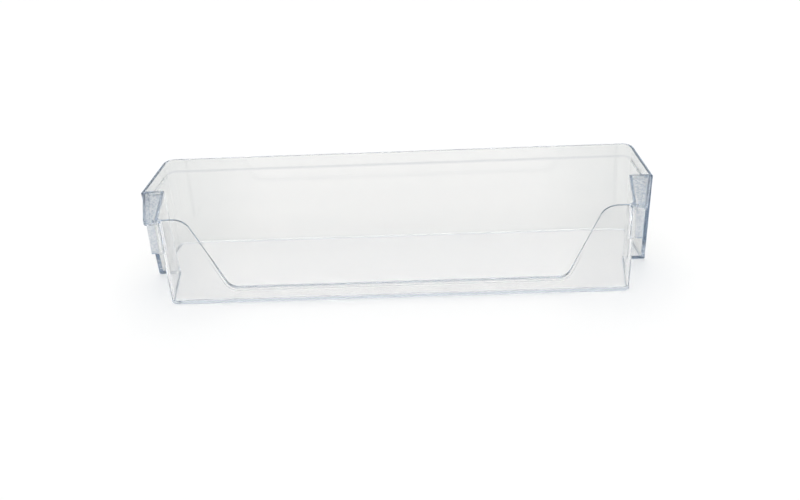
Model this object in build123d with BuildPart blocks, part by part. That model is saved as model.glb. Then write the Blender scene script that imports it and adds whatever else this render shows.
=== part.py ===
from build123d import *
import math
import os

# Fridge door shelf: a clear tray moulded in one piece. Its front half widens to a shoulder at
# each end. Behind each shoulder an open pocket drops over a lug of the door liner.
# Millimetres, X along the shelf, +Y to the front panel, -Y to the door, Z up.
# The origin is under the middle of the shelf, on the surface that it stands on.

# Tray, measured at the rim
WIDTH = 482.0  # across the shoulders
DEPTH = 118.0  # rear wall to front panel
HEIGHT = 95.0
REAR_DEPTH = 53.5  # rear wall to the shoulders
SHOULDER_REACH = 19.2  # each shoulder, out past the end wall of the rear half
END_SPLAY = 1.8  # each end wall, in from the shoulder to the rear wall
FLANK_TAPER = 13.5  # each flank, in from the shoulder to the front panel
WALL = 2.5
FLOOR = 2.5
DRAFT = 2.0  # degrees that every wall leans outward towards the rim
FRONT_CORNER_RADIUS = 11.0
REAR_CORNER_RADIUS = 9.0
SHOULDER_CORNER_RADIUS = 1.5  # outside, between the end wall and the shoulder
BASE_RADIUS = 1.2  # outer edge of the floor
FLOOR_RADIUS = 1.5  # inner edge of the floor
RIM_RADIUS = 1.0

# Rim band round the front half, below which the wall grows thicker on the inside
BAND_HEIGHT = 11.0
BAND_STEP = 0.5
BAND_SLOPE = 10.0  # degrees from upright

# Scoop in the rear wall, with a flange along its lower edge
SCOOP_MARGIN = 27.5  # rim at each end of the rear wall, before the corners are rounded
SCOOP_SLANT = 24.3  # degrees that its flanks lean from upright
SCOOP_TOP_RADIUS = 16.5
SCOOP_LOW_RADIUS = 12.0
SILL_HEIGHT = 18.0
FLANGE_THICKNESS = 2.5
FLANGE_DROP = 20.0  # down from the rim to where the flange has sunk into the wall

# Lug pocket, between the shoulder and a rear plate, under a recessed cap
PLATE_REACH = 7.0  # out from the end wall
PLATE_DROP = 36.5  # down from the rim
CAP_OVERHANG = 3.0  # rear corner of the cap, out past the plate
CAP_SETBACK = 1.3  # in from the outer edge of the shoulder
CAP_RECESS = 2.5
CAP_THICKNESS = 2.5
CAP_MARGIN = 6.0  # left standing along the outer edge of the cap
CAP_CORNER_RADIUS = 3.0
RECESS_CORNER_RADIUS = 1.5

# How far a form runs into or past its neighbour, so that the two join cleanly
OVERLAP = 0.5

REAR = -DEPTH / 2
FRONT = DEPTH / 2
SHOULDER = REAR + REAR_DEPTH
SHOULDER_X = WIDTH / 2
FRONT_X = SHOULDER_X - FLANK_TAPER
END_X = SHOULDER_X - SHOULDER_REACH
REAR_X = END_X - END_SPLAY
SCOOP_X = REAR_X - SCOOP_MARGIN
LEAN = math.tan(math.radians(DRAFT))


def both_sides(half):
    """Points of a closed outline, from those on the right and their mirror images."""
    return half + [(-x, y) for x, y in reversed(half)]


def tray_outline(step=0.0, inset=0.0):
    """Outline of the tray at the rim, its front panel and flanks set in by step, all of it by inset."""
    slope = FLANK_TAPER / (FRONT - SHOULDER)
    flank_step = step * math.hypot(1, slope)
    half = [
        (REAR_X, REAR),
        (END_X, SHOULDER),
        (SHOULDER_X - flank_step, SHOULDER),
        (FRONT_X - flank_step + step * slope, FRONT - step),
    ]
    with BuildSketch(Plane.XY.offset(HEIGHT)) as outline:
        with BuildLine():
            Polyline(both_sides(half), close=True)
        make_face()
        if not inset:
            fillet(outline.vertices().group_by(Axis.Y)[1].sort_by(Axis.X)[1:-1], SHOULDER_CORNER_RADIUS)
        fillet(outline.vertices().group_by(Axis.Y)[-1], FRONT_CORNER_RADIUS - step)
        fillet(outline.vertices().group_by(Axis.Y)[0], REAR_CORNER_RADIUS)
        if inset:
            offset(amount=-inset, kind=Kind.INTERSECTION, mode=Mode.REPLACE)
    return outline.sketch


def band_outline(inset, level):
    """Outline of the front half of the tray, set in by a distance."""
    with BuildSketch(Plane.XY.offset(level)) as outline:
        with BuildLine():
            Polyline(both_sides([(SHOULDER_X, SHOULDER), (FRONT_X, FRONT)]), close=True)
        make_face()
        fillet(outline.vertices().group_by(Axis.Y)[-1], FRONT_CORNER_RADIUS)
        offset(amount=-inset, kind=Kind.INTERSECTION, mode=Mode.REPLACE)
    return outline.sketch


# The cap's outer edge runs from past the rear plate to the shoulder
plate_x = REAR_X + PLATE_REACH
plate_root_x = REAR_X - REAR_CORNER_RADIUS
cap_flare = (SHOULDER_X - CAP_SETBACK - plate_x - CAP_OVERHANG) / REAR_DEPTH
margin_width = CAP_MARGIN * math.hypot(1, cap_flare)


def cap_x(y):
    """Outer edge of the cap, at a distance along the depth of the shelf."""
    return plate_x + CAP_OVERHANG + cap_flare * (y - REAR)


sill_x = SCOOP_X - (HEIGHT - SILL_HEIGHT) * math.tan(math.radians(SCOOP_SLANT))
scoop_depth = WALL + HEIGHT * LEAN


def scoop_outline(grow=0.0):
    """Outline of the scoop, in an upright plane inside the rear wall, grown by a distance."""
    half = [
        (sill_x, SILL_HEIGHT),
        (SCOOP_X, HEIGHT),
        (REAR_X, HEIGHT),
        (REAR_X, HEIGHT + OVERLAP),
    ]
    with BuildSketch(Plane.XZ.offset(-REAR - scoop_depth)) as outline:
        with BuildLine():
            Polyline(both_sides(half), close=True)
        make_face()
        fillet(outline.vertices().group_by(Axis.Y)[1].sort_by(Axis.X)[1:-1], SCOOP_TOP_RADIUS)
        fillet(outline.vertices().group_by(Axis.Y)[0], SCOOP_LOW_RADIUS)
        if grow:
            offset(amount=grow, kind=Kind.INTERSECTION, mode=Mode.REPLACE)
    return outline.sketch


with BuildPart() as door_shelf:
    # Outer form of the tray
    extrude(tray_outline(), amount=-HEIGHT, taper=DRAFT)
    fillet(door_shelf.edges().group_by(Axis.Z)[0], BASE_RADIUS)

    # Rear plate and cap of each lug pocket
    for side in (-1, 1):
        with BuildSketch(Plane.YZ.offset(side * plate_root_x)):
            with BuildLine():
                Polyline(
                    (REAR, HEIGHT),
                    (REAR + WALL, HEIGHT),
                    (REAR + WALL + PLATE_DROP * LEAN, HEIGHT - PLATE_DROP),
                    (REAR + PLATE_DROP * LEAN, HEIGHT - PLATE_DROP),
                    close=True,
                )
            make_face()
        extrude(amount=side * (plate_x - plate_root_x))
        with BuildSketch(Plane.XY.offset(HEIGHT)) as cap:
            cap_front = SHOULDER + WALL / 2
            with BuildLine():
                Polyline(
                    (side * plate_root_x, REAR),
                    (side * cap_x(REAR), REAR),
                    (side * cap_x(cap_front), cap_front),
                    (side * plate_root_x, cap_front),
                    close=True,
                )
            make_face()
            rear_corners = cap.vertices().group_by(Axis.Y)[0].sort_by(Axis.X)
            fillet(rear_corners[-1 if side > 0 else 0], CAP_CORNER_RADIUS)
        extrude(amount=-(CAP_RECESS + CAP_THICKNESS), taper=DRAFT)

    # Hollow of the tray, which widens at the rim band
    extrude(tray_outline(BAND_STEP, WALL), amount=FLOOR - HEIGHT, taper=DRAFT, mode=Mode.SUBTRACT)
    fillet(door_shelf.faces().filter_by(Axis.Z).sort_by(Axis.Z)[1].edges(), FLOOR_RADIUS)
    slope_height = (BAND_STEP + OVERLAP) / math.tan(math.radians(BAND_SLOPE))
    band_foot = band_outline(WALL + BAND_HEIGHT * LEAN, HEIGHT - BAND_HEIGHT)
    extrude(band_outline(WALL, HEIGHT), amount=-BAND_HEIGHT, taper=DRAFT, mode=Mode.SUBTRACT)
    extrude(band_foot, amount=-slope_height, taper=BAND_SLOPE, mode=Mode.SUBTRACT)

    # Recess in the top of each cap
    for side in (-1, 1):
        with BuildSketch(Plane.XY.offset(HEIGHT)) as recess:
            with BuildLine():
                Polyline(
                    (side * (REAR_X + END_SPLAY * WALL / REAR_DEPTH), REAR + WALL),
                    (side * (cap_x(REAR + WALL) - margin_width), REAR + WALL),
                    (side * (cap_x(SHOULDER) - margin_width), SHOULDER),
                    (side * END_X, SHOULDER),
                    close=True,
                )
            make_face()
            fillet(recess.vertices(), RECESS_CORNER_RADIUS)
        extrude(amount=-CAP_RECESS, mode=Mode.SUBTRACT)

    # Scoop in the rear wall
    extrude(scoop_outline(), amount=scoop_depth + OVERLAP, mode=Mode.SUBTRACT)

    # Rounded rim, all the way along the scoop too. The short edges across the wall, where the
    # rim passes smoothly into the scoop, stay as they are.
    rim = door_shelf.edges().filter_by_position(Axis.Z, HEIGHT - OVERLAP, HEIGHT + OVERLAP)
    sill = door_shelf.edges().filter_by_position(Axis.Z, SILL_HEIGHT - OVERLAP, SILL_HEIGHT + OVERLAP)
    fillet(rim.filter_by(lambda edge: edge.length > WALL + OVERLAP) + sill.filter_by(Axis.X), RIM_RADIUS)

    # Flange along the sill and up the flanks of the scoop. It stands out to the plane of the rim
    # at the sill, and sinks into the leaning wall further up.
    with BuildPart():
        extrude(scoop_outline(FLANGE_THICKNESS), amount=scoop_depth)
        extrude(scoop_outline(), amount=scoop_depth, mode=Mode.SUBTRACT)
        with BuildSketch(Plane.YZ):
            middle = REAR + WALL / 2
            with BuildLine():
                Polyline(
                    (REAR, 0),
                    (REAR, SILL_HEIGHT),
                    (middle + FLANGE_DROP * LEAN, HEIGHT - FLANGE_DROP),
                    (middle + HEIGHT * LEAN, 0),
                    close=True,
                )
            make_face()
        extrude(amount=WIDTH, both=True, mode=Mode.INTERSECT)

os.makedirs("parts", exist_ok=True)
door_shelf.part.label = "door_shelf"
export_step(door_shelf.part, "parts/door_shelf.step")
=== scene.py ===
import math

import bpy
from mathutils import Matrix, Vector


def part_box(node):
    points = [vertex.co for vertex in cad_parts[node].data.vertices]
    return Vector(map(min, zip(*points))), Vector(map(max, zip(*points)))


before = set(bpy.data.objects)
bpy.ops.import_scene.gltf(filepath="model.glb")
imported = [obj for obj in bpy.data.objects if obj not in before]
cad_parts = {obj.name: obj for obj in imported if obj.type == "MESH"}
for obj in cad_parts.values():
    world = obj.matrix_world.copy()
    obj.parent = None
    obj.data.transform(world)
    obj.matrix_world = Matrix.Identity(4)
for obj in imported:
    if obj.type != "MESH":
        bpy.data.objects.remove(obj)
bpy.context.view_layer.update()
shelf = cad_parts["door_shelf"]
low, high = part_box("door_shelf")
scene = bpy.context.scene
scene.view_settings.view_transform = "Standard"

# Light runs a long way inside the clear walls before it leaves at an edge, and stays sharp on its way
LIGHT_BOUNCES = 64
scene.cycles.blur_glossy = 0.0
scene.cycles.max_bounces = LIGHT_BOUNCES
scene.cycles.transmission_bounces = LIGHT_BOUNCES
scene.cycles.glossy_bounces = LIGHT_BOUNCES

MM = 0.001


def srgb(code, level=1.0):
    """A colour written as an sRGB hex code, in linear light, brightened by a level."""
    shades = [int(code[i:i + 2], 16) / 255 for i in (1, 3, 5)]
    linear = [v / 12.92 if v <= 0.04045 else ((v + 0.055) / 1.055) ** 2.4 for v in shades]
    return [level * v for v in linear] + [1.0]


def add_node(tree, kind, settings=None, **links):
    """A node with its settings, and its inputs set or linked by name, or by number as i0, i1."""
    node = tree.nodes.new(kind)
    for name, value in (settings or {}).items():
        setattr(node, name, value)
    for name, value in links.items():
        socket = node.inputs[int(name[1:]) if name[1:].isdigit() else name.replace("_", " ")]
        if isinstance(value, bpy.types.NodeSocket):
            tree.links.new(value, socket)
        else:
            socket.default_value = value
    return node


def new_material(name):
    """An empty material, and the tree that its nodes go in."""
    material = bpy.data.materials.new(name)
    material.use_nodes = True
    material.node_tree.nodes.clear()
    return material, material.node_tree


# Places on the shelf, worked out from its box. X is the distance from the middle, towards either end.
FLANK_RIM_Z = high.z - 1.6 * MM  # just below the rounding of the rim
END_RIM_Z = high.z - 2.0 * MM  # the same, at the end walls
RECESS_Z = high.z - 3.4 * MM  # just below the floor of the recess in each cap
CAP_FOOT_Z = high.z - 5.5 * MM  # just below the caps
BAND_FOOT_Z = high.z - 13.0 * MM  # middle of the slope below the rim band
PLATE_FOOT_Z = high.z - 35.2 * MM  # just above the lower edge of the rear plates
SCOOP_FADE_Z = low.z + 29.0 * MM  # half way through the fade of the edge of the scoop
BASE_EDGE_Z = low.z + 1.0 * MM  # near the top of the rounding along the base
PLATE_Y = low.y + 4.4 * MM  # just in front of the rear plates
REAR_WALL_Y = low.y + 8.5 * MM  # just in front of the leaning rear wall
SHOULDER_Y = low.y + 53.5 * MM
BAND_END_Y = SHOULDER_Y + 1.5 * MM  # inside the wall of the shoulders
MIDDLE_Y = 0.0
ENDS_SHADE_X = high.x - 68.5 * MM  # half way through the rise of the painted shade towards the ends
SCOOP_X = high.x - 27.0 * MM  # past the ends of the scoop
END_RIM_X = high.x - 24.0 * MM  # just inside the end walls, at the rim
PLATE_X = high.x - 21.0 * MM  # root of the rear plates
END_WALL_X = high.x - 19.0 * MM  # outer side of the end walls, at the shoulders
FLANK_X = high.x - 15.0 * MM  # near the inner side of the flanks, at the front
MARGIN_X = high.x - 3.0 * MM  # middle of the margin of each cap, carried on to the middle of the depth
CAP_FLARE = 0.1813  # outer edge of each cap, out per length towards the shoulder

# Widths over which one finish passes into the next
SHARP = 0.8 * MM
SOFT = 1.0 * MM
FADE = 4.0 * MM
BAND_LINE = 1.2 * MM
ENDS_SHADE_FADE = 105.0 * MM
SCOOP_FADE = 82.0 * MM

# Clear polystyrene, injection moulded in a polished tool. The blue toner that keeps it from looking
# yellow shows only where the eye looks a long way through it, as along a rim or an edge.
POLISHED = "#f8f8f8"
CLARITY = 0.992
POLYSTYRENE_IOR = 1.59
TONER = "#6caad3"
TONER_DENSITY = 2.5
polystyrene, tree = new_material("clear_moulded_polystyrene")
place = add_node(tree, "ShaderNodeTexCoord").outputs
along = add_node(tree, "ShaderNodeSeparateXYZ", Vector=place["Object"]).outputs
facing = add_node(tree, "ShaderNodeSeparateXYZ", Vector=place["Normal"]).outputs
from_middle, facing_door, lying_flat = (
    add_node(tree, "ShaderNodeMath", {"operation": "ABSOLUTE"}, i0=value).outputs[0]
    for value in (along["X"], facing["Y"], facing["Z"])
)
across_cap = add_node(
    tree, "ShaderNodeMath", {"operation": "MULTIPLY_ADD"},
    i0=along["Y"], i1=-CAP_FLARE, i2=from_middle,
).outputs[0]

# The recess in each cap and the rear plates are taken as grained, not polished. They look frosted and
# hide what lies behind them. Real grain would be too fine to show, so it is drawn coarser.
FROST_ROUGHNESS = 0.55
GRAIN_SIZE = 2.0 * MM
GRAIN_LOW, GRAIN_HIGH = 0.35, 0.65
FROSTED_RECESS = ("#b0bbc8", "#f6f8f9")
FROSTED_PLATE = ("#d6dce2", "#fcfcfd")
grain = add_node(tree, "ShaderNodeTexNoise", Vector=place["Object"], Scale=1 / GRAIN_SIZE, Detail=1.0)
grain = add_node(
    tree, "ShaderNodeMapRange", {"interpolation_type": "SMOOTHSTEP"},
    Value=grain.outputs[0], From_Min=GRAIN_LOW, From_Max=GRAIN_HIGH,
)
frosted_recess, frosted_plate = (
    add_node(
        tree, "ShaderNodeMixRGB", Fac=grain.outputs[0], Color1=srgb(dark), Color2=srgb(pale)
    ).outputs[0]
    for dark, pale in (FROSTED_RECESS, FROSTED_PLATE)
)

# The front panel and the flanks are a little hazy, with painted shade that greys what is seen through
# them. The slope below the rim band shows a soft grey line of painted shade. Edges and rims have a
# slate tint of painted shade, and most are dull.
# Greys of painted shade for the front panel and flanks, darker towards the ends
HAZY_PAINTED_SHADE, ENDS_PAINTED_SHADE = "#f1f1f0", "#e7e8e7"
HAZE_ROUGHNESS = 0.07
# Painted shade for the grey line on the slope below the rim band
BAND_SHADE_GREY = "#d3d5d8"
# Slate of painted shade for the edges and rims
EDGE_SHADE_SLATE = "#7890a9"
DULL_ROUGHNESS = 0.3

# Where and over what width a finish changes as a surface turns, by how far it faces up or down, or for
# the scoop towards the door
OFF_FLOOR = (0.89, -0.18)
UPRIGHT = (0.40, -0.20)
OFF_BASE = (0.91, -0.12)
OFF_SCOOP = (0.70, -0.40)

# Each finish, and each painted shade, has a colour, a roughness, a strength and the limits that it lies
# within. A limit is a measure, its edge and the width of the change there, below zero where it lies
# before the edge.
finishes_and_painted_shades = (
    # Front panel and flanks, a little hazy and greyed with painted shade, then more painted shade
    # towards the ends
    (srgb(HAZY_PAINTED_SHADE), HAZE_ROUGHNESS, 1.0, (
        (along["Y"], MIDDLE_Y, FADE),
        (lying_flat, *OFF_FLOOR),
    )),
    (srgb(ENDS_PAINTED_SHADE), 0.0, 1.0, (
        (along["Y"], MIDDLE_Y, FADE),
        (lying_flat, *UPRIGHT),
        (from_middle, ENDS_SHADE_X, ENDS_SHADE_FADE),
    )),
    # Recess in each cap, to the middle of its margin
    (frosted_recess, FROST_ROUGHNESS, 1.0, (
        (from_middle, END_WALL_X, SOFT),
        (across_cap, MARGIN_X, -SOFT),
        (along["Y"], SHOULDER_Y, -SHARP),
        (along["Z"], RECESS_Z, SHARP),
    )),
    # Rear plates
    (frosted_plate, FROST_ROUGHNESS, 1.0, (
        (from_middle, PLATE_X, SOFT),
        (along["Y"], PLATE_Y, -SHARP),
        (along["Z"], CAP_FOOT_Z, -SOFT),
    )),
    # Painted shade line on the slope below the rim band
    (srgb(BAND_SHADE_GREY), 0.0, 1.0, (
        (along["Z"], BAND_FOOT_Z - BAND_LINE / 2, BAND_LINE),
        (along["Z"], BAND_FOOT_Z + BAND_LINE / 2, -BAND_LINE),
        (along["Y"], BAND_END_Y, SOFT),
    )),
    # Painted shade on the edge of the scoop, more so towards its top
    (srgb(EDGE_SHADE_SLATE), DULL_ROUGHNESS, 1.0, (
        (facing_door, *OFF_SCOOP),
        (along["Y"], REAR_WALL_Y, -SOFT),
        (from_middle, SCOOP_X, -2 * SOFT),
        (along["Z"], SCOOP_FADE_Z, SCOOP_FADE),
    )),
    # Painted shade on the lower edge of the rear half
    (srgb(EDGE_SHADE_SLATE), DULL_ROUGHNESS, 0.4, (
        (lying_flat, *OFF_BASE),
        (along["Z"], BASE_EDGE_Z, -SHARP),
        (along["Y"], MIDDLE_Y - SOFT, -2 * SOFT),
    )),
    # Painted shade on the rim of the flanks
    (srgb(EDGE_SHADE_SLATE), 0.0, 0.6, (
        (along["Z"], FLANK_RIM_Z, SHARP),
        (along["Y"], SHOULDER_Y - 1.5 * SOFT, 2 * SOFT),
        (from_middle, FLANK_X, FADE),
    )),
    # Painted shade on the outer half of the margin of each cap
    (srgb(EDGE_SHADE_SLATE), DULL_ROUGHNESS, 0.7, (
        (across_cap, MARGIN_X, SOFT),
        (along["Y"], SHOULDER_Y, -SOFT),
        (along["Z"], CAP_FOOT_Z, SHARP),
    )),
    # Painted shade on the rim of the end walls, beside the recesses
    (srgb(EDGE_SHADE_SLATE), DULL_ROUGHNESS, 0.7, (
        (from_middle, END_RIM_X, SHARP),
        (from_middle, END_WALL_X, -SHARP),
        (along["Y"], SHOULDER_Y, -SOFT),
        (along["Z"], END_RIM_Z, SHARP),
    )),
    # Painted shade on the lower edge of the rear plates
    (srgb(EDGE_SHADE_SLATE), 0.0, 0.6, (
        (from_middle, PLATE_X + 1.5 * SOFT, SOFT),
        (along["Y"], PLATE_Y, -SHARP),
        (along["Z"], PLATE_FOOT_Z, -SHARP),
    )),
)
colour = srgb(POLISHED)
roughness = 0.0
for finish_and_shade_colour, finish_roughness, share, limits in finishes_and_painted_shades:
    for measure, edge, width in limits:
        within = add_node(
            tree, "ShaderNodeMapRange", {"interpolation_type": "SMOOTHSTEP"},
            Value=measure, From_Min=edge - width / 2, From_Max=edge + width / 2,
        )
        share = add_node(
            tree, "ShaderNodeMath", {"operation": "MULTIPLY"}, i0=share, i1=within.outputs[0]
        ).outputs[0]
    colour = add_node(
        tree, "ShaderNodeMixRGB", Fac=share, Color1=colour, Color2=finish_and_shade_colour
    ).outputs[0]
    roughness = add_node(
        tree, "ShaderNodeMath", {"operation": "MULTIPLY_ADD"},
        i0=share, i1=finish_roughness, i2=roughness,
    ).outputs[0]
surface = add_node(
    tree, "ShaderNodeBsdfPrincipled",
    Base_Color=colour, Roughness=roughness, IOR=POLYSTYRENE_IOR, Transmission_Weight=CLARITY,
)
toner = add_node(tree, "ShaderNodeVolumeAbsorption", Color=srgb(TONER), Density=TONER_DENSITY)
add_node(tree, "ShaderNodeOutputMaterial", Surface=surface.outputs[0], Volume=toner.outputs[0])
shelf.data.materials.clear()
shelf.data.materials.append(polystyrene)

# Matt white paper that the shelf stands on, a hair below it. A faint glow keeps the paper white.
PAPER = "#f4f4f4"
PAPER_GLOW = 0.09
PAPER_SIZE = 30.0
PAPER_GAP = 0.3 * MM
WHITE = "#ffffff"
paper, tree = new_material("white_matt_paper")
surface = add_node(
    tree, "ShaderNodeBsdfPrincipled",
    Base_Color=srgb(PAPER), Roughness=1.0, Specular_IOR_Level=0.0,
    Emission_Color=srgb(WHITE), Emission_Strength=PAPER_GLOW,
)
add_node(tree, "ShaderNodeOutputMaterial", Surface=surface.outputs[0])
bpy.ops.mesh.primitive_plane_add(size=PAPER_SIZE, location=(0, 0, low.z - PAPER_GAP))
floor = bpy.context.object
floor.name = "floor"
floor.data.materials.append(paper)

# Studio: a wide softbox overhead, a white backdrop on the far side, and a dim room round the rest,
# which is what the edges of the plastic show as grey. The horizon is white all round.
ROOM_NEAR = "#5f7691"
ROOM_SIDE = "#8297b0"
SOFTBOX = "#fff9ef"
SOFTBOX_LEVEL = 2.71
world = bpy.data.worlds.new("studio")
scene.world = world
world.use_nodes = True
tree = world.node_tree
tree.nodes.clear()
direction = add_node(tree, "ShaderNodeTexCoord").outputs["Generated"]
direction = add_node(tree, "ShaderNodeSeparateXYZ", Vector=direction).outputs

# Each part of the room covers the last, from where it starts along a direction to where it is full
room = srgb(ROOM_NEAR)
for measure, start, full, cover in (
    (direction["Y"], -0.7, -0.1, srgb(ROOM_SIDE)),
    (direction["Y"], 0.3, 0.7, srgb(WHITE)),
    (direction["Z"], 0.25, 0.10, srgb(WHITE)),
    (direction["Z"], 0.78, 0.93, srgb(SOFTBOX, SOFTBOX_LEVEL)),
):
    share = add_node(
        tree, "ShaderNodeMapRange", {"interpolation_type": "SMOOTHSTEP"},
        Value=measure, From_Min=start, From_Max=full,
    )
    room = add_node(
        tree, "ShaderNodeMixRGB", Fac=share.outputs[0], Color1=room, Color2=cover
    ).outputs[0]
light = add_node(tree, "ShaderNodeBackground", Color=room, Strength=1.0)
add_node(tree, "ShaderNodeOutputWorld", Surface=light.outputs[0])

# Camera, on the door side and above, turned a little about its own axis
AZIMUTH, ELEVATION, ROLL = (math.radians(v) for v in (3.30, 32.21, -3.61))
DISTANCE = 1412 * MM
TARGET = Vector((0.7, 0.0, 17.8)) * MM
FOCAL_PX = 1454
IMAGE_WIDTH_PX = 800
SENSOR_WIDTH = 36
back = Vector((
    math.sin(AZIMUTH) * math.cos(ELEVATION),
    -math.cos(AZIMUTH) * math.cos(ELEVATION),
    math.sin(ELEVATION),
))
level = Vector((math.cos(AZIMUTH), math.sin(AZIMUTH), 0))
right = math.cos(ROLL) * level + math.sin(ROLL) * back.cross(level)
up = back.cross(right)
lens = bpy.data.cameras.new("camera")
lens.sensor_fit = "HORIZONTAL"
lens.sensor_width = SENSOR_WIDTH
lens.lens = FOCAL_PX / IMAGE_WIDTH_PX * SENSOR_WIDTH
camera = bpy.data.objects.new("camera", lens)
scene.collection.objects.link(camera)
turn = Matrix((right, up, back)).transposed().to_4x4()
camera.matrix_world = Matrix.Translation(TARGET + DISTANCE * back) @ turn
scene.camera = camera
